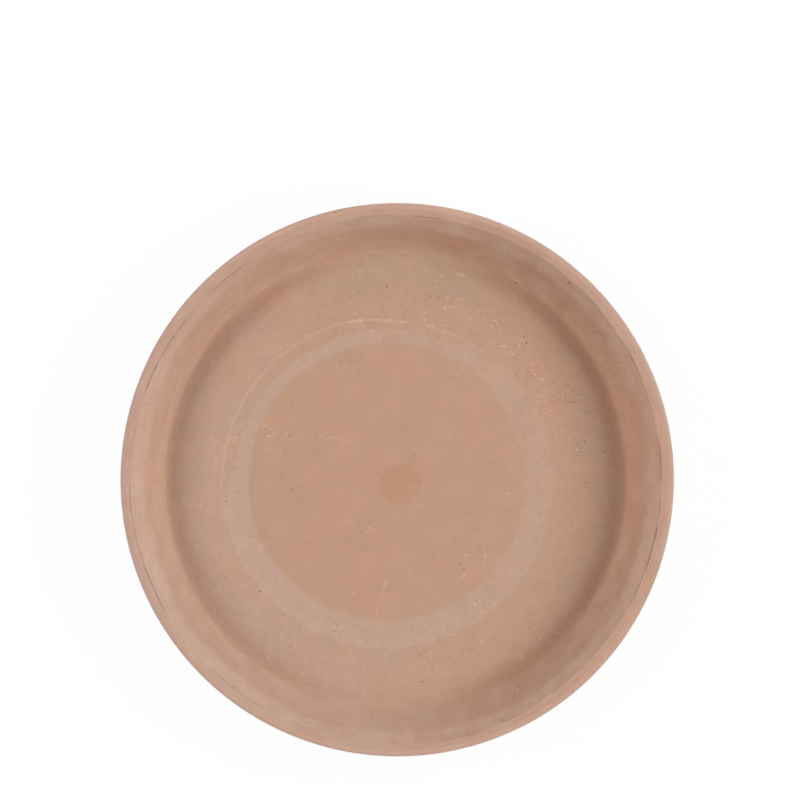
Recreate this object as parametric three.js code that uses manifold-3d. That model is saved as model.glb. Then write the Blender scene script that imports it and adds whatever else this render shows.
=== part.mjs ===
// A round earthenware saucer that stands under a plant pot and holds the water that drains from it.
// It is one piece of clay, turned on a wheel and fired without a glaze, so it is one lathed solid:
// a turned underside with a flat foot, a flared wall with a thickened lip, and a flat floor inside.
// Millimetres, +Z up. The origin is the middle of the foot, on the ground.

import * as THREE from "three";
import { mergeVertices } from "three/addons/utils/BufferGeometryUtils.js";
import Module from "manifold-3d";

// Overall sizes
const RIM_DIAMETER = 270;
const HEIGHT = 40;
const BASE_DIAMETER = 236; // where the outer face of the wall would meet the ground
const FLOOR_HEIGHT = 10; // from the ground to the floor that a pot stands on
const WALL_THICKNESS = 8.5; // across the wall, level with the floor

// Foot and underside
const FOOT_WIDTH = 20; // from the edge of the base in to the sloping side of the foot
const FOOT_RECESS = 2.5; // how far the turned underside lies above the ground
const FOOT_BEVEL = 3.5; // width of the foot's sloping side
const BASE_EDGE_RADIUS = 4.5;

// Lip, with the band that thickens it on the outside
const BAND_HEIGHT = 10;
const BAND_PROUD = 1.6;
const BAND_FILLET = 3;
const LIP_TOP_WIDTH = 3.8; // from the rim in to where the level top gives way to the slope
const LIP_SLOPE_WIDTH = 2.8; // from there in to the fold
const LIP_EDGE_RADIUS = 2.2; // between the band and the top
const LIP_CROWN_RADIUS = 10; // between the top and the slope
const FOLD_DROP = 0.8; // from the top of the lip down to the fold where the trimmed clay was turned over
const FOLD_DEPTH = 0.4;
const FOLD_WIDTH = 0.8;

// Inside
const WALL_BEND_HEIGHT = 30; // above which the wall leans out a little more
const WALL_BEND = 0.6; // how far the face lies inside a straight line there
const COVE_RADIUS = 5.5;
const CENTRE_DIMPLE_DIAMETER = 25;
const CENTRE_DIMPLE_SLOPE = 3; // width of its sloping edge
const CENTRE_DIMPLE_DEPTH = 0.4;

// Shallow grooves left by the turning
const WALL_GROOVE_PITCH = 7;
const WALL_GROOVE_DEPTH = 0.3;
const UNDERSIDE_GROOVE_PITCH = 26;
const UNDERSIDE_GROOVE_DEPTH = 0.7;

// The print of the round foot that stood on the floor in the kiln, a little off the middle
const PRINT_OUTER_DIAMETER = 166;
const PRINT_WIDTH = 14;
const PRINT_DEPTH = 0.3;
const PRINT_OFFSET_X = -5;
const PRINT_OFFSET_Y = -1.1;

const TURN_STEPS = 72; // facets in a full turn
const CORNER_STEPS = 5; // facets across each rounded corner
const GROOVE_STEPS = 3; // facets across each groove left by the turning

const point = (radius, height) => new THREE.Vector2(radius, height);

// The point at a given height on the straight line through two others.
function atHeight(low, high, height) {
  return low.clone().lerp(high, (height - low.y) / (high.y - low.y));
}

// The points of an arc about a centre, from one angle to another in degrees, both ends included.
function arc(centre, radius, fromDegrees, toDegrees) {
  return Array.from({ length: CORNER_STEPS + 1 }, (_, i) => {
    const degrees = THREE.MathUtils.lerp(fromDegrees, toDegrees, i / CORNER_STEPS);
    const angle = THREE.MathUtils.degToRad(degrees);
    return point(centre.x + radius * Math.cos(angle), centre.y + radius * Math.sin(angle));
  });
}

// The points of a rounded corner between two straight runs. Its radius is limited by the shorter run.
function roundedCorner(before, corner, after, radius) {
  const back = before.clone().sub(corner);
  const on = after.clone().sub(corner);
  const shorter = Math.min(back.length(), on.length());
  back.normalize();
  on.normalize();
  const half = Math.acos(THREE.MathUtils.clamp(back.dot(on), -1, 1)) / 2;
  const fitting = Math.min(radius, shorter * Math.tan(half));
  const middle = back.clone().add(on).normalize();
  const centre = corner.clone().addScaledVector(middle, fitting / Math.sin(half));
  const start = corner.clone().addScaledVector(back, fitting / Math.tan(half)).sub(centre);
  const end = corner.clone().addScaledVector(on, fitting / Math.tan(half)).sub(centre);
  const from = THREE.MathUtils.radToDeg(start.angle());
  const turn = THREE.MathUtils.radToDeg(Math.atan2(start.cross(end), start.dot(end)));
  return arc(centre, fitting, from, from + turn);
}

// A straight run with shallow rounded grooves round it, cut to the left of the run's direction, where
// the clay is. It begins and ends on the straight line.
function turnedRun(from, to, pitch, depth) {
  const along = to.clone().sub(from);
  const left = point(-along.y, along.x).normalize();
  const grooves = Math.max(1, Math.round(along.length() / pitch));
  const steps = grooves * GROOVE_STEPS;
  return Array.from({ length: steps + 1 }, (_, i) => {
    const share = (1 - Math.cos((2 * Math.PI * i) / GROOVE_STEPS)) / 2;
    return from.clone().lerp(to, i / steps).addScaledVector(left, depth * share);
  });
}

// The wall's outer face as [low end, high end], and its inner face as [low end, bend, high end].
function wallLines() {
  const rim = RIM_DIAMETER / 2;
  const outer = [point(BASE_DIAMETER / 2, 0), point(rim - BAND_PROUD, HEIGHT - BAND_HEIGHT)];
  const flare = Math.atan2(outer[1].x - outer[0].x, outer[1].y - outer[0].y);
  const outerAtFloor = atHeight(...outer, FLOOR_HEIGHT).x;
  const innerLow = point(outerAtFloor - WALL_THICKNESS / Math.cos(flare), FLOOR_HEIGHT);
  const innerHigh = point(rim - LIP_TOP_WIDTH - LIP_SLOPE_WIDTH, HEIGHT - FOLD_DROP - FOLD_WIDTH);
  const bend = atHeight(innerLow, innerHigh, WALL_BEND_HEIGHT).sub(point(WALL_BEND, 0));
  return { outer, inner: [innerLow, bend, innerHigh] };
}

// The underside, from the axis to the inner edge of the flat foot.
function undersideOutline() {
  const footInner = point(BASE_DIAMETER / 2 - FOOT_WIDTH, 0);
  const recessEdge = point(footInner.x - FOOT_BEVEL, FOOT_RECESS);
  const middle = point(0, FOOT_RECESS);
  return [...turnedRun(middle, recessEdge, UNDERSIDE_GROOVE_PITCH, UNDERSIDE_GROOVE_DEPTH), footInner];
}

// The outer face, from the inner edge of the foot round the base and up to the band's lower edge.
function outerOutline(footInner, [base, underBand]) {
  const rim = RIM_DIAMETER / 2;
  const bandLow = point(rim, underBand.y + BAND_PROUD);
  const baseEdge = roundedCorner(footInner, base, underBand, BASE_EDGE_RADIUS);
  const bandHollow = roundedCorner(baseEdge.at(-1), underBand, bandLow, BAND_FILLET);
  const wall = turnedRun(baseEdge.at(-1), bandHollow[0], WALL_GROOVE_PITCH, WALL_GROOVE_DEPTH);
  return [...baseEdge, ...wall.slice(1), ...bandHollow.slice(1), bandLow];
}

// The lip, from the band over its top and down the slope to the fold, and the fold's shallow groove.
function lipOutline(bandLow, innerHigh) {
  const corner = point(RIM_DIAMETER / 2, HEIGHT);
  const slopeStart = point(corner.x - LIP_TOP_WIDTH, HEIGHT);
  const foldEdge = point(innerHigh.x, HEIGHT - FOLD_DROP);
  const edge = roundedCorner(bandLow, corner, slopeStart, LIP_EDGE_RADIUS);
  const crown = roundedCorner(edge.at(-1), slopeStart, foldEdge, LIP_CROWN_RADIUS);
  const groove = point(innerHigh.x + FOLD_DEPTH, innerHigh.y + FOLD_WIDTH / 2);
  return [...edge, ...crown, foldEdge, groove];
}

// The inside, from the top of the inner wall down through the cove and along the floor to the axis.
function insideOutline([innerLow, bend, innerHigh]) {
  const dimpleEdge = point(CENTRE_DIMPLE_DIAMETER / 2, FLOOR_HEIGHT);
  const dimpleFloor = point(dimpleEdge.x - CENTRE_DIMPLE_SLOPE, FLOOR_HEIGHT - CENTRE_DIMPLE_DEPTH);
  const cove = roundedCorner(bend, innerLow, dimpleEdge, COVE_RADIUS);
  return [innerHigh, bend, ...cove, dimpleEdge, dimpleFloor, point(0, dimpleFloor.y)];
}

// A solid of revolution about the vertical axis from its outline of radius and height.
function turned(outline) {
  return new THREE.LatheGeometry(outline, TURN_STEPS).rotateX(Math.PI / 2);
}

function saucerGeometry() {
  const { outer, inner } = wallLines();
  const underside = undersideOutline();
  const outside = outerOutline(underside.at(-1), outer);
  const lip = lipOutline(outside.at(-1), inner.at(-1));
  return turned([...underside, ...outside, ...lip, ...insideOutline(inner)]);
}

// The ring that is taken off the floor to leave the print.
function printGeometry() {
  const outside = PRINT_OUTER_DIAMETER / 2;
  const inside = outside - PRINT_WIDTH;
  const low = FLOOR_HEIGHT - PRINT_DEPTH;
  const high = FLOOR_HEIGHT + PRINT_DEPTH;
  const corners = [point(inside, low), point(outside, low), point(outside, high), point(inside, high)];
  return turned([...corners, corners[0]]).translate(PRINT_OFFSET_X, PRINT_OFFSET_Y, 0);
}

const wasm = await Module();
wasm.setup();

// A closed geometry as a solid that can be cut.
function toSolid(geometry) {
  const bare = geometry.clone().deleteAttribute("normal").deleteAttribute("uv");
  const merged = mergeVertices(bare, 1e-3);
  const mesh = new wasm.Mesh({
    numProp: 3,
    vertProperties: merged.getAttribute("position").array,
    triVerts: new Uint32Array(merged.getIndex().array),
  });
  return new wasm.Manifold(mesh);
}

function toGeometry(solid) {
  const { vertProperties, triVerts } = solid.getMesh();
  const geometry = new THREE.BufferGeometry();
  geometry.setAttribute("position", new THREE.BufferAttribute(vertProperties, 3));
  geometry.setIndex(new THREE.BufferAttribute(triVerts, 1));
  geometry.computeVertexNormals();
  return geometry;
}

const firedClay = new THREE.MeshStandardMaterial({ color: 0xbe967e, roughness: 0.95, metalness: 0 });

const saucer = new THREE.Mesh(
  toGeometry(toSolid(saucerGeometry()).subtract(toSolid(printGeometry()))),
  firedClay,
);
saucer.name = "saucer";

const part = new THREE.Group();
part.add(saucer);

export default part;
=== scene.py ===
import math

import bpy
from mathutils import Matrix, Vector, noise


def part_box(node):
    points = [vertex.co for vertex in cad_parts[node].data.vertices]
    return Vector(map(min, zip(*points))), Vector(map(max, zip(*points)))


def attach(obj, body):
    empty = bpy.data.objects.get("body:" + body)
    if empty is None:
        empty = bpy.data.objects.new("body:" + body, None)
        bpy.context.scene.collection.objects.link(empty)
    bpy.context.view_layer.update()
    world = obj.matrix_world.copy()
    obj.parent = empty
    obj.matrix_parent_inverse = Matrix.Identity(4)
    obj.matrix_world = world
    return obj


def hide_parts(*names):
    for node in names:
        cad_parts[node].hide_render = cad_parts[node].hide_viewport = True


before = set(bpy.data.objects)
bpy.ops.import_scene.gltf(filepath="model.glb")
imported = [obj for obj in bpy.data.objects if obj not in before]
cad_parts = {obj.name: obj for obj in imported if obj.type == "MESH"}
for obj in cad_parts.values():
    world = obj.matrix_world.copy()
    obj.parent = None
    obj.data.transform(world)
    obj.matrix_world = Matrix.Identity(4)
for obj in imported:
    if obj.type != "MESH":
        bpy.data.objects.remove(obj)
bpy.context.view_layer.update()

# Saucer
# One piece of earthenware, turned on a wheel and fired without a glaze. Its outline is swept round the
# axis and wanders a little, as turned clay does. Where the trimmed clay was turned over at the lip, a
# fold runs round it, and the floor keeps the faint print of a pot's foot that stood there in the kiln.
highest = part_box("saucer")[1]
RIM_RADIUS = highest[0]
HEIGHT = highest[2]
BASE_RADIUS = 0.118
FLOOR_HEIGHT = 0.010
WALL_THICKNESS = 0.0085
WALL_BEND_HEIGHT = 0.030
WALL_BEND = 0.0006
FOOT_WIDTH = 0.020
FOOT_RECESS = 0.0025
FOOT_BEVEL = 0.0035
BAND_HEIGHT = 0.010
BAND_PROUD = 0.0016
LIP_WIDTH = 0.0066
LIP_TOP_WIDTH = 0.0038
FOLD_HEIGHT = 0.0392
PRINT_RINGS_INNER = 0.066  # from here to the next radius the floor's rings lie closer, for the print
PRINT_RINGS_OUTER = 0.087

band_low = Vector((RIM_RADIUS - BAND_PROUD, HEIGHT - BAND_HEIGHT))
wall_lean = (band_low.x - BASE_RADIUS) / band_low.y
inner_low = BASE_RADIUS + FLOOR_HEIGHT * wall_lean - WALL_THICKNESS * math.hypot(1, wall_lean)
foot_inner = BASE_RADIUS - FOOT_WIDTH
fold = Vector((RIM_RADIUS - LIP_WIDTH, FOLD_HEIGHT))
bend_share = (WALL_BEND_HEIGHT - FLOOR_HEIGHT) / (FOLD_HEIGHT - FLOOR_HEIGHT)
bend = Vector((inner_low, FLOOR_HEIGHT)).lerp(fold, bend_share) - Vector((WALL_BEND, 0))

# Each corner has its radius, height and rounding, and then, for the run that leads to it, the spacing
# of the points and the pitch and depth of the grooves left by the turning. They go from the middle of
# the underside over the foot, the band, the lip, the fold and the cove to the middle of the floor.
corners = (
    (0, FOOT_RECESS, 0, 1, 1, 0),
    (foot_inner - FOOT_BEVEL, FOOT_RECESS, 0.0025, 0.0026, 0.024, 0.0007),
    (foot_inner, 0, 0.0010, 0.0008, 1, 0),
    (BASE_RADIUS, 0, 0.0045, 0.0026, 1, 0),
    (band_low.x, band_low.y, 0.0030, 0.0009, 0.007, 0.0003),
    (RIM_RADIUS, band_low.y + BAND_PROUD, 0.0009, 0.0004, 1, 0),
    (RIM_RADIUS, HEIGHT, 0.0022, 0.0006, 1, 0),
    (RIM_RADIUS - LIP_TOP_WIDTH, HEIGHT, 0.0100, 0.0003, 1, 0),
    (fold.x, fold.y, 0.0008, 0.00024, 1, 0),
    (bend.x, bend.y, 0.0300, 0.00060, 0.007, 0.00006),
    (inner_low, FLOOR_HEIGHT, 0.0055, 0.00060, 0.007, 0.00006),
    (PRINT_RINGS_OUTER, FLOOR_HEIGHT, 0, 0.0014, 1, 0),
    (PRINT_RINGS_INNER, FLOOR_HEIGHT, 0, 0.0006, 1, 0),
    (0, FLOOR_HEIGHT, 0, 0.0024, 1, 0),
)


def spaced(start, end, spacing, pitch, depth):
    """The points of a straight run after its start, with grooves cut into the clay on its left."""
    steps = max(1, math.ceil((end - start).length / spacing))
    grooves = round((end - start).length / pitch)
    left = (end - start).orthogonal().normalized()
    points = []
    for step in range(1, steps + 1):
        groove = (1 - math.cos(math.tau * grooves * step / steps)) / 2
        points.append(start.lerp(end, step / steps) + left * depth * groove)
    return points


def swept_outline(corners):
    """The points of the outline through the corners, with each corner rounded."""
    points = [Vector(corners[0][:2])]
    for before, corner, after in zip(corners, corners[1:], corners[2:]):
        sharp = Vector(corner[:2])
        rounding = corner[2]
        run = corner[3:]
        if not rounding:
            points += spaced(points[-1], sharp, *run)
            continue
        back = (Vector(before[:2]) - sharp).normalized()
        on = (Vector(after[:2]) - sharp).normalized()
        half = back.angle(on) / 2
        start = sharp + back * rounding / math.tan(half)
        end = sharp + on * rounding / math.tan(half)
        centre = sharp + (back + on).normalized() * rounding / math.sin(half)
        points += spaced(points[-1], start, *run)
        turn = math.atan2((start - centre).cross(end - centre), (start - centre).dot(end - centre))
        steps = max(2, math.ceil(abs(turn) * rounding / min(run[0], after[3])))
        for step in range(1, steps + 1):
            points.append(centre + Matrix.Rotation(turn * step / steps, 2) @ (start - centre))
    return points + spaced(points[-1], Vector(corners[-1][:2]), *corners[-1][3:])


outline = swept_outline(corners)
lengths = [0]
for before, after in zip(outline, outline[1:]):
    lengths.append(lengths[-1] + (after - before).length)
fold_at = min(range(len(outline)), key=lambda k: (outline[k] - fold).length)

# The floor's rings follow the dimple where the turning began, then the print, then the cove, which all
# lie a little off the axis of the lip.
DIMPLE_CENTRE = Vector((0.0016, -0.0017))
DIMPLE_RADIUS = 0.0125
DIMPLE_SLOPE = 0.005
DIMPLE_DEPTH = 0.0003
PRINT_CENTRE = Vector((-0.0050, -0.0011))
PRINT_INNER_RADIUS = 0.0690
PRINT_OUTER_RADIUS = 0.0830
PRINT_SLOPE = 0.0020
PRINT_DEPTH = 0.00012
COVE_CENTRE = Vector((-0.0005, 0))
COVE_START_RADIUS = 0.103
COVE_END_RADIUS = 0.116
AXIS = Vector((0, 0))


def eased(low, high, value):
    """Rises smoothly from 0 to 1 as the value goes from low to high."""
    share = min(max((value - low) / (high - low), 0), 1)
    return share * share * (3 - 2 * share)


def ring_centre(ring_radius):
    """The middle of one of the inside's rings."""
    centre = DIMPLE_CENTRE.lerp(PRINT_CENTRE, eased(DIMPLE_RADIUS, PRINT_INNER_RADIUS, ring_radius))
    centre = centre.lerp(COVE_CENTRE, eased(PRINT_OUTER_RADIUS, COVE_START_RADIUS, ring_radius))
    return centre.lerp(AXIS, eased(COVE_END_RADIUS, fold.x, ring_radius))


def floor_dip(ring_radius):
    """How far the clay lies below the level floor, on one of its rings."""
    pressed = eased(PRINT_INNER_RADIUS - PRINT_SLOPE, PRINT_INNER_RADIUS, ring_radius)
    pressed -= eased(PRINT_OUTER_RADIUS - PRINT_SLOPE, PRINT_OUTER_RADIUS, ring_radius)
    dimpled = 1 - eased(DIMPLE_RADIUS - DIMPLE_SLOPE, DIMPLE_RADIUS, ring_radius)
    return PRINT_DEPTH * pressed + DIMPLE_DEPTH * dimpled


# The fold is a fine cut that wanders, lies further out on the lip at the left, and breaks off here and
# there. In two places it is torn deeper. Noise at a direction times a factor changes about six times
# the factor in a turn.
FOLD_DEPTH = 0.00034
FOLD_WIDTH = 0.00034
FOLD_WANDER = 0.0007
FOLD_DRIFT = 0.0016
TEARS = (math.radians(-14), math.radians(150))
TEAR_HALF_ANGLE = 13


def fold_share(k, around):
    """How far the fold is open at the outline's point k, in one direction from the axis."""
    wander = FOLD_WANDER * (noise.noise(around * 2.4) + noise.noise(around * 14) * 0.4)
    drift = FOLD_DRIFT * eased(0.7, 1, -around.x)
    off_fold = lengths[k] - lengths[fold_at] - wander + drift
    open_share = eased(-0.15, 0.25, noise.noise(around * 6 + Vector((3, 1, 5))))
    for tear in TEARS:
        off_tear = math.degrees(around.angle(Vector((math.cos(tear), math.sin(tear), 0))))
        torn = 1 - eased(TEAR_HALF_ANGLE * 0.6, TEAR_HALF_ANGLE, off_tear)
        open_share += torn * eased(-0.2, 0.1, noise.noise(around * 20))
    return open_share * math.exp(-((off_fold / FOLD_WIDTH) ** 2))


# The clay lies a little inside its outline, in broad waves, and from the cove outwards in fine lines too.
BROAD_WAVE = 0.00016
FINE_LINE = 0.00005
FREE_HEIGHT = 0.002  # both fade out from here down to the ground, so that the foot stays flat
LINES_START_RADIUS = 0.109
LINES_FULL_RADIUS = 0.112


def clay_cut(k, around):
    """How far the clay lies inside the outline's point k, in one direction from the axis."""
    point = outline[k]
    along = Vector((0, 0, lengths[k]))
    free = eased(0, FREE_HEIGHT, point.y)
    lined = free * eased(LINES_START_RADIUS, LINES_FULL_RADIUS, point.x)
    broad = 1 + noise.noise(around * 1.6 + along * 40)
    fine = 1 + noise.noise(around * 3 + along * 900)
    return free * BROAD_WAVE * broad + lined * FINE_LINE * fine


TURN_STEPS = 336
AXIS_REACH = 1e-6  # a ring smaller than this is one point on the axis

vertices = []
rings = []
folded = []
for k, point in enumerate(outline):
    after = outline[min(k + 1, len(outline) - 1)]
    before = outline[max(k - 1, 0)]
    facing = -(after - before).orthogonal().normalized()
    centre = ring_centre(point.x) if k > fold_at else AXIS
    dip = floor_dip(point.x) if k > fold_at else 0
    steps = TURN_STEPS if point.x > AXIS_REACH else 1
    rings.append([len(vertices) + step % steps for step in range(TURN_STEPS + 1)])
    for step in range(steps):
        angle = math.tau * step / TURN_STEPS
        around = Vector((math.cos(angle), math.sin(angle), 0))
        folded.append(fold_share(k, around))
        off_axis, height = point - facing * (clay_cut(k, around) + FOLD_DEPTH * folded[-1])
        vertices.append((centre.x + around.x * off_axis, centre.y + around.y * off_axis, height - dip))

faces = []
for ring, next_ring in zip(rings, rings[1:]):
    for step in range(TURN_STEPS):
        face = (ring[step], ring[step + 1], next_ring[step + 1], next_ring[step])
        faces.append(tuple(dict.fromkeys(face)))

mesh = bpy.data.meshes.new("turned_saucer")
mesh.from_pydata(vertices, [], faces)
mesh.shade_smooth()
mesh.attributes.new("folded", "FLOAT", "POINT").data.foreach_set("value", folded)
saucer = bpy.data.objects.new("turned_saucer", mesh)
bpy.context.collection.objects.link(saucer)
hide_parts("saucer")
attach(saucer, "root")


class Socket:
    """An output in a tree of shader nodes. Arithmetic with it adds Math nodes to the same tree."""

    def __init__(self, tree, output=None):
        self.tree = tree
        self.output = output

    def node(self, kind, settings, values, output=0):
        """Adds a node, first its settings and then its sockets' values or links, and gives an output."""
        added = self.tree.nodes.new("ShaderNode" + kind)
        for name, setting in settings.items():
            setattr(added, name, setting)
        for name, value in values.items():
            if isinstance(value, Socket):
                self.tree.links.new(value.output, added.inputs[name])
            else:
                added.inputs[name].default_value = value
        return Socket(self.tree, added.outputs[output]) if added.outputs else None

    def worked_out(self, operation, first, second):
        return self.node("Math", {"operation": operation}, {0: first, 1: second})

    def smaller(self, other):
        return self.worked_out("MINIMUM", self, other)

    def __add__(self, other):
        return self.worked_out("ADD", self, other)

    def __sub__(self, other):
        return self.worked_out("SUBTRACT", self, other)

    def __rsub__(self, other):
        return self.worked_out("SUBTRACT", other, self)

    def __mul__(self, other):
        return self.worked_out("MULTIPLY", self, other)

    def __truediv__(self, other):
        return self.worked_out("DIVIDE", self, other)

    def __pow__(self, other):
        return self.worked_out("POWER", self, other)

    __radd__ = __add__
    __rmul__ = __mul__


def new_material(name):
    """A material without any node yet, and what its nodes are added to."""
    material = bpy.data.materials.new(name)
    material.use_nodes = True
    material.node_tree.nodes.clear()
    return material, Socket(material.node_tree)


def colour(red, green, blue):
    """A colour of the screen, 0 to 255, as the linear colour that a shader takes."""
    shares = [value / 255 for value in (red, green, blue)]
    return (*(v / 12.92 if v <= 0.04045 else ((v + 0.055) / 1.055) ** 2.4 for v in shares), 1)


def rising(value, low, high):
    """Rises smoothly from 0 to 1 as a value goes from low to high."""
    return value.node("MapRange", {"interpolation_type": "SMOOTHSTEP"}, {0: value, 1: low, 2: high})


def mixed(share, first, second):
    """The first colour, with a share of the second laid over it."""
    return share.node("Mix", {"data_type": "RGBA"}, {0: share, 6: first, 7: second}, 2)


fired_clay, clay_nodes = new_material("fired_clay")
place = clay_nodes.node("TexCoord", {}, {}, "Object")
x, y, z = (clay_nodes.node("SeparateXYZ", {}, {0: place}, axis) for axis in "XYZ")
radius = (x ** 2 + y ** 2) ** 0.5


def cloud(size, detail=2, seed=0, fineness=0.5):
    """Soft patches of about this size in metres, as a value that wanders round 0.5."""
    moved = clay_nodes.node("VectorMath", {"operation": "ADD"}, {0: place, 1: (seed, seed, seed)})
    values = {"Vector": moved, "Scale": 1 / size, "Detail": detail, "Roughness": fineness}
    return clay_nodes.node("TexNoise", {}, values)


def turning_space(reach, width, seed=0):
    """Coordinates with this many units to a radian of the turning, and one to each width across it."""
    return clay_nodes.node("CombineXYZ", {}, {
        0: x / radius * reach,
        1: y / radius * reach,
        2: (radius + z) / width + seed,
    })


def drawn_out(turn_share, width, detail=2, seed=0):
    """Patches drawn out along the turning, each this share of a turn long and this wide in metres."""
    space = turning_space(1 / (math.tau * turn_share), width, seed)
    return clay_nodes.node("TexNoise", {}, {"Vector": space, "Scale": 1, "Detail": detail})


def towards(degrees):
    """1 on the side of the saucer in this direction, 0 square to it and -1 on the opposite side."""
    return (x * math.cos(math.radians(degrees)) + y * math.sin(math.radians(degrees))) / radius


def side(degrees, start):
    """Rises to 1 in this direction, from where towards() reaches the start."""
    return rising(towards(degrees), start, 1.0)


def off_centre(centre):
    """How far a point is from the upright line through a point of the floor."""
    return ((x - centre.x) ** 2 + (y - centre.y) ** 2) ** 0.5


# Where on the saucer a point lies. The inside begins in the middle of the wall and of the floor.
middle_low = (BASE_RADIUS + FLOOR_HEIGHT * wall_lean + inner_low) / 2
middle_lean = ((RIM_RADIUS + fold.x) / 2 - middle_low) / (fold.y - FLOOR_HEIGHT)
within = (z - FLOOR_HEIGHT) * middle_lean + middle_low - radius
inside = rising(within, -0.0004, 0.0004) * rising(z, 0.005, 0.007)
on_floor = inside * (1 - rising(z, FLOOR_HEIGHT + 0.0002, FLOOR_HEIGHT + 0.0030))
on_wall = inside - on_floor
on_lip = rising(radius, fold.x - 0.0001, fold.x + 0.0015) * rising(z, HEIGHT - 0.0085, HEIGHT - 0.0015)
on_turned = (1 - on_floor) * rising(radius, 0.010, 0.050)

# The fired body has warm and beige patches, with a finer cloudiness in them.
WARM_CLAY = colour(191, 152, 127)
BEIGE_CLAY = colour(187, 153, 130)
patches = cloud(0.026, 3) * 0.6 + cloud(0.010, 3, 3) * 0.4
patches = rising(patches + rising(radius, 0.060, 0.075) * 0.07, 0.40, 0.66)
body = mixed(patches, WARM_CLAY, BEIGE_CLAY)

# Painted shade in the corner of the cove: the clay is painted darker and redder there, most on the
# diagonals, less at the left and right, and hardly at the far and near side.
COVE_SHADE = colour(174, 126, 100)
cove_shade = rising(radius + cloud(0.016, 2, 11) * 0.008, 0.1075, 0.1145)
cove_shade = cove_shade * (1 - rising(z, FLOOR_HEIGHT + 0.001, FLOOR_HEIGHT + 0.005))
cove_shade_share = towards(5) ** 2 * 0.32 + (towards(0) * towards(90)) ** 2 * 1.6
body = mixed(inside * cove_shade * cove_shade_share, body, COVE_SHADE)

# Next to the cove the floor is greyer at the far side, and painted darker and browner at the near left,
# as painted shade.
FAR_GREY = colour(152, 146, 124)
NEAR_LEFT_SHADE = colour(170, 142, 122)
floor_edge = inside * rising(radius, 0.090, 0.103) * (1 - rising(radius, 0.110, 0.114))
body = mixed(floor_edge * side(90, 0.85) * 0.22, body, FAR_GREY)
body = mixed(floor_edge * side(228, 0.80) * 0.32, body, NEAR_LEFT_SHADE)

# Drying left a pale veil on the outer floor, most of it on one side.
VEIL = colour(190, 162, 146)
veil = rising(towards(200) + cloud(0.03, 2, 5) * 1.2, 0.45, 1.5) * rising(radius, 0.078, 0.084) * 0.36
body = mixed(on_floor * veil, body, VEIL)

# The print is paler, in blotches. At the far left it is narrower, with a thin pale line outside it.
PRINT_PALE = colour(192, 163, 147)
PRINT_LINE = colour(206, 176, 154)
far_left = rising(towards(122), 0.35, 0.65)
print_radius = off_centre(PRINT_CENTRE) + (cloud(0.006, 3, 7) - 0.5) * 0.0022
band_outer = print_radius + far_left * 0.0066
band = rising(print_radius, PRINT_INNER_RADIUS - 0.0010, PRINT_INNER_RADIUS + 0.0013)
band = band * (1 - rising(band_outer, PRINT_OUTER_RADIUS - 0.0015, PRINT_OUTER_RADIUS + 0.0007))
blotches = cloud(0.008, 5, 9, 0.65) - 0.5
band_share = (0.53 + towards(200) * 0.19) * (1 + blotches * (1.7 + towards(20) * 1.0))
body = mixed(on_floor * band * band_share, body, PRINT_PALE)
off_line = print_radius + blotches * 0.0016 - PRINT_OUTER_RADIUS + 0.0006 + side(75, 0.80) * 0.0022
line = 1 - rising(off_line ** 2, 0.0001 ** 2, 0.0009 ** 2)
line = line * (0.08 + far_left * 0.36) * rising(cloud(0.008, 5, 13, 0.7), 0.25, 0.62)
body = mixed(on_floor * line, body, PRINT_LINE)

# The dimple in the middle is redder, with a ragged edge.
DIMPLE_RED = colour(187, 144, 118)
dimple_edge = off_centre(DIMPLE_CENTRE) + (cloud(0.005, 5, 15, 0.7) - 0.5) * 0.014
in_dimple = 1 - rising(dimple_edge, 0.0082, 0.0122)
body = mixed(on_floor * in_dimple * 0.75, body, DIMPLE_RED)

# The turned faces are smeared, in redder and in paler patches. The smears are drawn out most at the far
# left and turn to round mottles at the near right.
SMEAR_RED = colour(184, 140, 116)
SMEAR_PALE = colour(196, 161, 139)
streaky = 0.55 + towards(115) * 0.35
smears = drawn_out(0.035, 0.0080, 3) * streaky + cloud(0.016, 3, 47) * (1 - streaky)
smear_share = 0.60 - inside * side(180, 0.5) * 0.30
body = mixed(on_turned * (1 - rising(smears, 0.40, 0.62)) * smear_share, body, SMEAR_RED)
pale_smears = drawn_out(0.022, 0.0060, 2, 60) * streaky + cloud(0.012, 2, 49) * (1 - streaky)
body = mixed(on_turned * rising(pale_smears, 0.44, 0.70) * 0.42, body, SMEAR_PALE)

# The wall's colour also goes with the direction: paler on the near side, warmer on the right, and
# with red patches at the far right and near right.
WALL_NEAR_LEFT = colour(196, 168, 154)
WALL_RIGHT = colour(202, 149, 123)
WALL_NEAR = colour(200, 172, 158)
WALL_RED = colour(181, 134, 110)
body = mixed(on_wall * side(228, 0.45) * 0.24, body, WALL_NEAR_LEFT)
body = mixed(on_wall * side(0, 0.5) * 0.20, body, WALL_RIGHT)
below_bloom = 1 - rising(z, 0.027, 0.033)
body = mixed(on_wall * side(-60, 0.4) * below_bloom * 0.16, body, WALL_NEAR)
red_patches = (side(55, 0.6) + side(-35, 0.6) * 0.6) * rising(cloud(0.014, 3, 53), 0.40, 0.60)
body = mixed(on_wall * red_patches * 0.6, body, WALL_RED)

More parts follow.
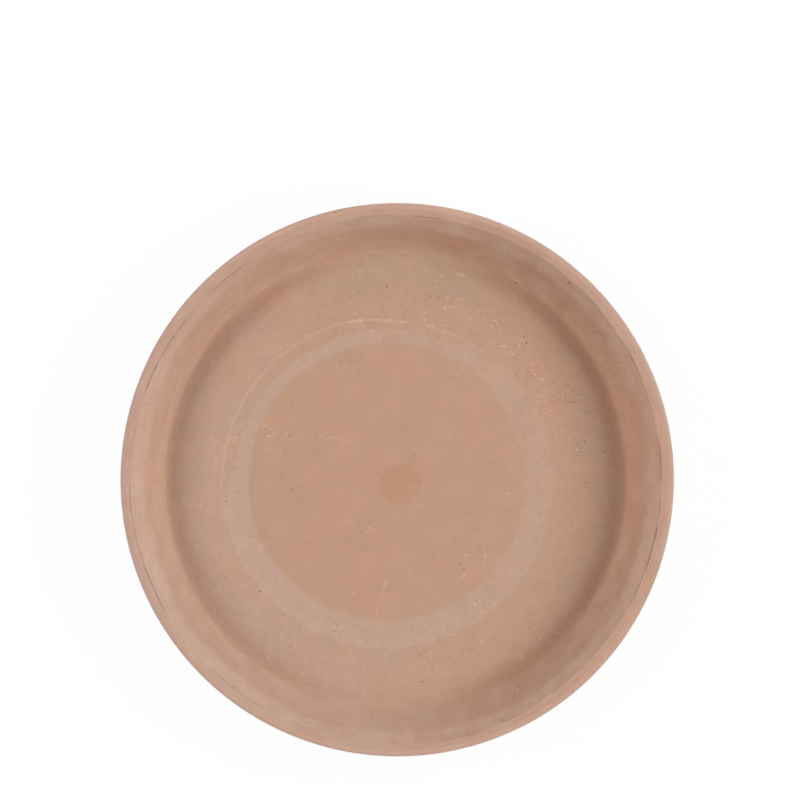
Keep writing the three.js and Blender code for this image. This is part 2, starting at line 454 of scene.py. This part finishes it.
# Salts bloomed pale near the top of the wall, most at the left and the near right, and on the lip.
WALL_BLOOM = colour(210, 179, 163)
LEFT_BLOOM = colour(207, 180, 172)
LIP_BLOOM = colour(204, 177, 168)
LIP_EDGE_WIDTH = 0.0028
bloom_height = z + (drawn_out(0.035, 0.02, 3, 80) - 0.5) * 0.010
bloom_share = 0.18 + side(185, 0.3) * 0.14 + side(-30, 0.75) * 0.26
bloom_share = bloom_share + rising(drawn_out(0.020, 0.0022, 3, 40), 0.30, 0.70) * streaky * 0.22
bloom_share = bloom_share + rising(cloud(0.009, 5, 41, 0.6), 0.38, 0.62) * (1 - streaky) * 0.30
bloom = rising(bloom_height, 0.0280, 0.0345) * bloom_share * (1 - on_lip)
body = mixed(on_wall * bloom, body, WALL_BLOOM)
left_bloom = side(190, 0.6) * rising(cloud(0.010, 3, 61), 0.45, 0.65) * rising(z, 0.027, 0.035)
body = mixed(on_wall * left_bloom * 0.35, body, LEFT_BLOOM)
edge_bloom = rising(radius, RIM_RADIUS - LIP_EDGE_WIDTH, RIM_RADIUS - 0.0003)
edge_bloom = edge_bloom * (0.08 + towards(5) ** 2 * 0.42 - towards(5) * 0.25)
lip_bloom = 0.22 + edge_bloom + (drawn_out(0.04, 0.004, 3, 90) - 0.5) * 0.4
body = mixed(on_lip * lip_bloom, body, LIP_BLOOM)

# The fold is painted dark: painted shade in the cut.
FOLD_SHADE = colour(124, 88, 72)
fold_shade = clay_nodes.node("Attribute", {"attribute_name": "folded"}, {}, "Fac")
body = mixed(rising(fold_shade, 0.1, 1.4) * 0.7, body, FOLD_SHADE)

# Outside, a fainter bloom lies on the collar, low on the wall and on the foot, and the corner under the
# collar is painted darker: painted shade.
OUTER_BLOOM = colour(208, 178, 158)
UNDER_COLLAR_SHADE = colour(150, 110, 90)
outside = 1 - inside
ragged = drawn_out(0.03, 0.004, 4, 130) - 0.5
on_collar = rising(z + ragged * 0.004, band_low.y, band_low.y + 0.004)
low_down = rising(radius, 0.090, 0.102) * (1 - rising(z + ragged * 0.016, 0.002, 0.014))
outer_bloom = outside * (on_collar * 0.22 + low_down * 0.34) * (0.7 + ragged * 1.2)
body = mixed(outer_bloom, body, OUTER_BLOOM)
off_corner = z - band_low.y - 0.0002 + ragged * 0.0006
under_collar_shade = outside * (1 - rising(off_corner ** 2, 0.0002 ** 2, 0.0013 ** 2))
body = mixed(under_collar_shade * (0.35 + ragged * 1.2), body, UNDER_COLLAR_SHADE)

# The clay is grainy and dusty, most of all on the outer floor, softly mottled, and on its turned faces
# finely lined. The wall has painted light at the left and right and painted shade at the far and near
# side. The lip is lighter at the far and near side than at the left and right, though less so at its
# edge, and the floor has painted light next to the far part of the cove.
grain = cloud(0.0008, 2, 17) - 0.5
dusting = cloud(0.0030, 4, 23, 0.75) - 0.5
mottle = cloud(0.0095, 2, 37) - 0.5
lines = (drawn_out(0.02, 0.0007, 3, 120) - 0.5) * on_turned * (1 - on_lip * 0.6)
grain_share = 0.74 + rising(radius, 0.060, 0.080) * 0.54 - on_wall * 0.4 - on_lip * 0.7
left_and_right = towards(0) ** 2
shade = 1 + (grain * 0.09 + dusting * 0.22) * grain_share + mottle * 0.12 + lines * streaky * 0.13
# Painted light on the wall at the left and right, painted shade at its far and near side.
shade = shade + on_wall * (left_and_right * 0.12 - 0.06) + on_lip * (0.05 - left_and_right * 0.09)
lip_edge = on_lip * rising(radius, RIM_RADIUS - LIP_EDGE_WIDTH, RIM_RADIUS - LIP_EDGE_WIDTH / 2)
shade = shade - lip_edge * (1 - left_and_right) * 0.05
# Painted light on the floor next to the far part of the cove.
far_floor_light = inside * rising(radius, 0.094, 0.108) * (1 - rising(radius, 0.115, 0.119))
shade = shade + far_floor_light * (1 - left_and_right) * (0.035 + towards(90) * 0.035)
body = clay_nodes.node("VectorMath", {"operation": "SCALE"}, {0: body, 3: shade})

# Pits where grit was dragged out or burnt away, fainter pits, pale crumbs, and loose clusters of finer
# crumbs and holes. The tables say where they lie, in metres from the axis, seen from above.
GRIT_PITS = (
    (0.0587, 0.0980), (0.0836, 0.0960), (0.0960, 0.0333), (0.0880, 0.0387),
    (0.0915, 0.0168), (0.0631, 0.0711), (0.0651, 0.0537), (0.0343, 0.0861),
    (0.0894, 0.0243), (0.0841, 0.0205),
)
FAINT_PITS = (
    (-0.0210, 0.1040), (-0.0193, 0.0940), (-0.0238, 0.0908), (-0.0052, 0.0963),
    (0.0164, 0.0910), (0.0205, 0.0910), (-0.0208, 0.0813), (0.0509, 0.0826),
    (0.0449, 0.0820), (0.0628, 0.0644), (0.0674, 0.0518), (0.0800, 0.0397),
    (0.0837, 0.0410), (0.0945, 0.0340), (0.1060, 0.0348), (0.0742, 0.0365),
    (0.0895, 0.0177), (0.0934, 0.0192), (0.0803, 0.0204), (0.1035, 0.0138),
    (0.0906, 0.0142), (0.0878, 0.0156), (0.0718, -0.0170), (0.0943, -0.0012),
    (0.0309, -0.0420), (0.0332, -0.0444), (0.0660, -0.0733), (0.0303, -0.0988),
    (0.0240, -0.1107), (0.0123, -0.1008), (0.0132, -0.0855), (0.0155, -0.0885),
    (0.0515, -0.1172), (-0.0152, -0.0808), (-0.0530, -0.0832), (-0.0715, -0.0928),
    (-0.0852, -0.0107), (-0.0798, -0.0059), (-0.0535, 0.0215), (-0.0520, -0.0050),
)
PALE_CRUMBS = (
    (-0.0215, 0.0830), (-0.0037, 0.0800), (0.0222, 0.1016), (-0.0185, 0.0788),
    (0.0020, 0.0787), (0.0240, 0.0810), (0.0313, 0.1027), (0.0360, 0.0809),
    (0.0609, 0.0671), (0.0668, 0.0667), (0.0623, 0.0700), (0.0575, 0.0627),
    (0.0674, 0.0574), (0.0685, 0.0525), (0.0728, 0.0503), (0.0850, 0.0442),
    (0.0822, 0.0249), (0.0999, 0.0290), (0.1081, 0.0563), (0.1100, 0.0563),
    (0.0795, 0.0203), (0.0808, 0.0198), (0.1035, 0.0127), (0.0980, 0.0232),
    (0.0898, 0.0150), (0.0947, -0.0188), (0.0633, -0.0022), (0.0602, -0.0449),
    (0.0341, -0.0375), (0.0665, -0.0730), (0.0753, -0.0675), (0.0712, -0.0787),
    (0.0226, -0.0732), (0.0284, -0.0772), (0.0116, -0.0840), (0.0339, -0.0873),
    (0.0412, -0.0842), (0.0147, -0.0937), (0.0168, -0.0863), (0.0572, -0.1028),
    (0.0592, -0.1037), (-0.0220, -0.0571), (-0.0211, -0.0565), (-0.0565, -0.0645),
    (-0.0615, -0.0590), (-0.0693, -0.0768), (-0.0644, -0.0887), (-0.0582, 0.0133),
    (-0.0798, 0.0080), (-0.0787, 0.0092), (-0.0797, -0.0054), (-0.0702, -0.0050),
    (-0.0612, 0.0230),
)
CRUMB_CLUSTERS = (
    (0.0253, 0.0890), (0.0513, 0.0805), (0.0621, 0.0686), (0.0720, 0.0517),
    (0.0851, 0.0400), (0.0890, 0.0193), (-0.0280, -0.0765), (-0.0325, -0.0750),
    (-0.0430, -0.0695), (-0.0660, -0.0520),
)
FAR_OFF = 1  # metres, farther than any spot or scratch
from_above = clay_nodes.node("VectorMath", {"operation": "MULTIPLY"}, {0: place, 1: (1, 1, 0)})


def off_nearest(spots):
    """How far a point is from the nearest of some spots, seen from above."""
    nearest = FAR_OFF
    for spot in spots:
        both = {0: from_above, 1: (*spot, 0)}
        off_spot = clay_nodes.node("VectorMath", {"operation": "DISTANCE"}, both, 1)
        nearest = off_spot.smaller(nearest)
    return nearest


PIT_SHADE = colour(122, 86, 68)
GRIT_PIT_SHADE = colour(98, 68, 54)
CRUMB_PALE = colour(222, 196, 172)
FINE_CRUMB_PALE = colour(222, 194, 168)
clusters = rising(cloud(0.013, 3, 19), 0.52, 0.64) * rising(radius, 0.020, 0.080) * 0.5
clusters = clusters * (0.65 + towards(35) * 0.35)
off_cluster = off_nearest(CRUMB_CLUSTERS) + (cloud(0.004, 3, 43) - 0.5) * 0.008
clusters = clusters + (1 - rising(off_cluster, 0.0015, 0.0070)) * 0.7
fine_share = 1 - on_wall * 0.2 - on_lip * 0.7
fine_crumbs = rising(cloud(0.0018, 3, 27, 0.60) + clusters * 0.115, 0.705, 0.735) * fine_share
holes = rising(1 - cloud(0.0018, 3, 28, 0.60) + clusters * 0.090, 0.705, 0.735) * fine_share
off_grit = off_nearest(GRIT_PITS) + (cloud(0.0010, 2, 45) - 0.5) * 0.0006
grit_pits = inside * (1 - rising(off_grit, 0.00015, 0.00055)) * rising(cloud(0.02, 2, 46), 0.2, 0.6)
ragged_edge = (cloud(0.0010, 2, 48) - 0.5) * 0.0007
faint_pits = inside * (1 - rising(off_nearest(FAINT_PITS) + ragged_edge, 0.00015, 0.00075))
crumbs = inside * (1 - rising(off_nearest(PALE_CRUMBS) + ragged_edge, 0.00010, 0.00070))
varied = rising(cloud(0.006, 2, 51), 0.30, 0.65)
# Painted shade: the pits and holes are painted darker, as the shade in them.
body = mixed(faint_pits * (0.20 + varied * 0.30), body, PIT_SHADE)
body = mixed(crumbs * (0.70 - varied * 0.35), body, CRUMB_PALE)
body = mixed(holes * 0.55, body, PIT_SHADE)
body = mixed(grit_pits, body, GRIT_PIT_SHADE)
body = mixed(fine_crumbs * 0.60, body, FINE_CRUMB_PALE)

# Short pale marks: most of them are drawn along the turning, some lie askew.
MARK_REACH = 20
MARK_WIDTH = 0.0009
MARK_PALE = colour(214, 186, 162)
askew = clay_nodes.node("TexNoise", {}, {"Vector": place, "Scale": 240, "Detail": 1}, "Color")
mark_space = {0: turning_space(MARK_REACH, MARK_WIDTH), 1: askew}
mark_space = clay_nodes.node("VectorMath", {"operation": "ADD"}, mark_space)
mark_cells = {"Vector": mark_space, "Scale": 1, "Randomness": 1}
off_mark = clay_nodes.node("TexVoronoi", {}, mark_cells)
cell_colour = clay_nodes.node("TexVoronoi", {}, mark_cells, "Color")
cell_pick = clay_nodes.node("SeparateColor", {}, {0: cell_colour}, 1)
marks = (1 - rising(off_mark, 0.10, 0.36)) * rising(cell_pick + clusters * 0.06, 0.965, 0.985)
body = mixed(marks * 0.40, body, MARK_PALE)

# Scratches on the floor and low on the wall, each a line through a few points.
SCRATCHES = (
    ((-0.0429, 0.0238), (-0.0384, 0.0218), (-0.0240, 0.0193)),
    ((-0.0250, 0.1030), (-0.0162, 0.1046), (-0.0071, 0.1045)),
    ((-0.0155, -0.0225), (-0.0118, -0.0256)),
    ((-0.0153, -0.0258), (-0.0120, -0.0222)),
    ((-0.0056, -0.0509), (-0.0106, -0.0678)),
    ((0.0313, -0.0487), (0.0346, -0.0467)),
    ((0.0382, -0.0612), (0.0402, -0.0640)),
    ((0.0410, -0.0600), (0.0420, -0.0640), (0.0433, -0.0673)),
    ((0.0365, -0.0625), (0.0365, -0.0655)),
    ((0.0280, 0.0800), (0.0281, 0.0780)),
    ((0.0130, 0.1043), (0.0145, 0.1044), (0.0160, 0.1034)),
    ((-0.0230, 0.1022), (-0.0205, 0.1023), (-0.0180, 0.1030)),
    ((-0.0777, 0.0257), (-0.0768, 0.0280)),
    ((-0.0650, 0.0218), (-0.0625, 0.0218)),
    ((-0.0608, 0.0251), (-0.0585, 0.0251)),
    ((-0.0845, 0.0195), (-0.0823, 0.0203), (-0.0803, 0.0212)),
    ((-0.0240, 0.0787), (-0.0170, 0.0797), (-0.0085, 0.0798)),
    ((-0.0876, 0.0010), (-0.0874, -0.0050), (-0.0863, -0.0085)),
    ((0.0468, -0.0608), (0.0494, -0.0622)),
    ((0.0222, -0.0745), (0.0240, -0.0772)),
    ((0.0417, -0.0803), (0.0428, -0.0838)),
    ((0.0432, -0.0798), (0.0442, -0.0830)),
    ((0.0148, -0.0873), (0.0168, -0.0892)),
    ((0.0875, -0.0384), (0.0895, -0.0399)),
    ((0.0612, -0.0873), (0.0626, -0.0897)),
    ((-0.0579, -0.0768), (-0.0544, -0.0803)),
    ((-0.0947, 0.0089), (-0.0907, 0.0059)),
    ((-0.0678, 0.0283), (-0.0623, 0.0248)),
    ((-0.0464, 0.0069), (-0.0399, 0.0069)),
    ((-0.0444, -0.0285), (-0.0384, -0.0295)),
    ((-0.1020, -0.0820), (-0.0975, -0.0885)),
    ((0.0750, 0.0545), (0.0757, 0.0520), (0.0742, 0.0508)),
    ((0.0300, 0.1028), (0.0342, 0.1016)),
    ((0.0237, 0.0919), (0.0250, 0.0914)),
    ((0.0300, 0.0904), (0.0317, 0.0891), (0.0325, 0.0904)),
    ((0.0334, 0.0744), (0.0353, 0.0744)),
    ((0.0481, 0.0792), (0.0500, 0.0779)),
    ((0.0508, 0.0667), (0.0537, 0.0665)),
    ((0.0632, 0.0717), (0.0643, 0.0696)),
    ((0.0732, 0.0625), (0.0761, 0.0628)),
    ((0.0711, 0.0505), (0.0732, 0.0493)),
    ((0.0907, 0.0410), (0.0928, 0.0410)),
    ((0.0882, 0.0233), (0.0917, 0.0234)),
    ((0.0882, 0.0155), (0.0895, 0.0147), (0.0907, 0.0155)),
)
SCRATCH_PALE = colour(220, 192, 168)


def off_stroke(start, end):
    """How far a point is from the straight line between two points, seen from above."""
    run = Vector((*end, 0)) - Vector((*start, 0))
    both = {0: from_above, 1: (*start, 0)}
    from_start = clay_nodes.node("VectorMath", {"operation": "SUBTRACT"}, both)
    along = {0: from_start, 1: run / run.length_squared}
    run_share = clay_nodes.node("VectorMath", {"operation": "DOT_PRODUCT"}, along, 1)
    run_share = clay_nodes.node("Clamp", {}, {0: run_share})
    nearest = clay_nodes.node("VectorMath", {"operation": "SCALE"}, {0: run, 3: run_share})
    return clay_nodes.node("VectorMath", {"operation": "DISTANCE"}, {0: from_start, 1: nearest}, 1)


off_scratch = FAR_OFF
for scratch in SCRATCHES:
    for start, end in zip(scratch, scratch[1:]):
        off_scratch = off_stroke(start, end).smaller(off_scratch)
ragged_scratch = off_scratch + (cloud(0.0012, 3, 31, 0.7) - 0.5) * 0.0016
unbroken = rising(cloud(0.0022, 3, 33, 0.7), 0.42, 0.60)
scratches = inside * (1 - rising(ragged_scratch, 0.00008, 0.00052)) * unbroken
body = mixed(scratches * 0.52, body, SCRATCH_PALE)

# How far all of this stands proud of the mesh or lies in it, in metres.
relief = grain * 0.00009 + dusting * 0.00010 + lines * 0.00009 + marks * 0.00005
relief = relief - grit_pits * 0.00035 - faint_pits * 0.00018 - holes * 0.00018
relief = relief + crumbs * 0.00014 + fine_crumbs * 0.00014 + scratches * 0.00006
clay_shader = clay_nodes.node("BsdfPrincipled", {}, {
    "Base Color": body,
    "Roughness": 0.86 + grain * 0.2,
    "Specular IOR Level": 0.3,
    "Diffuse Roughness": 1,
    "Normal": clay_nodes.node("Bump", {}, {"Distance": 1, "Height": relief}),
})
clay_nodes.node("OutputMaterial", {}, {"Surface": clay_shader})
mesh.materials.append(fired_clay)

# Floor
# A pale level floor that stays nearly white to the camera and keeps the saucer's shadow, most of it
# round the foot. From beneath it is clear, so that the saucer's underside can be seen.
FLOOR_SIZE = 6
FLOOR_GAP = 0.0001
SHADOW_SHARE = 0.04
FOOT_SHADOW_SHARE = 0.60
FOOT_SHADOW_RADIUS = RIM_RADIUS + 0.004
WHITE = (1, 1, 1, 1)

bpy.ops.mesh.primitive_plane_add(size=FLOOR_SIZE, location=(0, 0, -FLOOR_GAP))
ground = bpy.context.object
ground.name = "ground"


def seen_share(nodes):
    """1 for what the camera sees, straight, mirrored or through glass, and 0 for light on the saucer."""
    straight = nodes.node("LightPath", {}, {}, "Is Camera Ray")
    mirrored = nodes.node("LightPath", {}, {}, "Is Glossy Ray")
    through_glass = nodes.node("LightPath", {}, {}, "Is Transmission Ray")
    return straight + mirrored + through_glass


pale_floor, floor_nodes = new_material("pale_floor")
spot = floor_nodes.node("TexCoord", {}, {}, "Object")
off_axis = floor_nodes.node("VectorMath", {"operation": "LENGTH"}, {0: spot}, 1)
near_foot = 1 - rising(off_axis, BASE_RADIUS, FOOT_SHADOW_RADIUS)
shadow_share = SHADOW_SHARE + near_foot * FOOT_SHADOW_SHARE
floor_seen = seen_share(floor_nodes)
paint = floor_nodes.node("BsdfPrincipled", {}, {"Base Color": colour(235, 235, 235), "Roughness": 1})
glow = floor_nodes.node("Emission", {}, {"Color": WHITE, "Strength": 1})
floor_shader = floor_nodes.node("MixShader", {}, {0: floor_seen * (1 - shadow_share), 1: paint, 2: glow})
beneath = floor_nodes.node("NewGeometry", {}, {}, "Backfacing")
clear_share = beneath * floor_seen + floor_nodes.node("LightPath", {}, {}, "Is Shadow Ray")
clear = floor_nodes.node("BsdfTransparent", {}, {"Color": WHITE})
floor_shader = floor_nodes.node("MixShader", {}, {0: clear_share, 1: floor_shader, 2: clear})
floor_nodes.node("OutputMaterial", {}, {"Surface": floor_shader})
ground.data.materials.append(pale_floor)

# Lamps and air
# Two large soft lamps, the stronger on the right, two weaker ones that open up the near and far wall, and
# one beneath the floor, for the underside. The air round them is white to the camera, and hardly lights.
LAMP_DISTANCE = 1.6
LAMPS = (  # name, azimuth and elevation in degrees, width, depth, power
    ("right", 2, 40, 1.4, 0.6, 23.9),
    ("left", 171, 47, 1.4, 0.5, 14.9),
    ("far", 90, 45, 0.8, 0.8, 3.2),
    ("near", 270, 57, 0.8, 0.8, 4.6),
    ("beneath", 0, -90, 1.4, 1.4, 13.0),
)
AIR_LIGHT = 0.04

for name, azimuth, elevation, width, depth, power in LAMPS:
    lamp = bpy.data.lights.new(name, "AREA")
    lamp.shape = "RECTANGLE"
    lamp.size = width
    lamp.size_y = depth
    lamp.energy = power
    holder = bpy.data.objects.new(name, lamp)
    bpy.context.collection.objects.link(holder)
    direction = Vector((math.cos(math.radians(azimuth)), math.sin(math.radians(azimuth)), 0))
    direction *= math.cos(math.radians(elevation))
    direction.z = math.sin(math.radians(elevation))
    holder.location = LAMP_DISTANCE * direction
    holder.rotation_euler = direction.to_track_quat("Z", "Y").to_euler()

world = bpy.data.worlds.new("studio")
world.use_nodes = True
world.node_tree.nodes.clear()
world_nodes = Socket(world.node_tree)
strength = AIR_LIGHT + seen_share(world_nodes) * (1 - AIR_LIGHT)
air = world_nodes.node("Background", {}, {"Color": WHITE, "Strength": strength})
world_nodes.node("OutputWorld", {}, {"Surface": air})
bpy.context.scene.world = world
bpy.context.scene.view_settings.view_transform = "Standard"

# Camera
# It looks straight down on the middle of the saucer from well above. Its lens gives the rim its width in
# the picture, and its shift places the saucer in the frame.
FRAME_PIXELS = 800
RIM_PIXELS = 555.4
SAUCER_PIXEL = (397.2, 479.8)
CAMERA_HEIGHT = 1.2

camera = bpy.data.objects.new("camera", bpy.data.cameras.new("camera"))
bpy.context.collection.objects.link(camera)
camera.location.z = HEIGHT + CAMERA_HEIGHT
frame_width = 2 * RIM_RADIUS * FRAME_PIXELS / RIM_PIXELS
camera.data.lens = camera.data.sensor_width * CAMERA_HEIGHT / frame_width
camera.data.shift_x = 0.5 - SAUCER_PIXEL[0] / FRAME_PIXELS
camera.data.shift_y = SAUCER_PIXEL[1] / FRAME_PIXELS - 0.5
bpy.context.scene.camera = camera
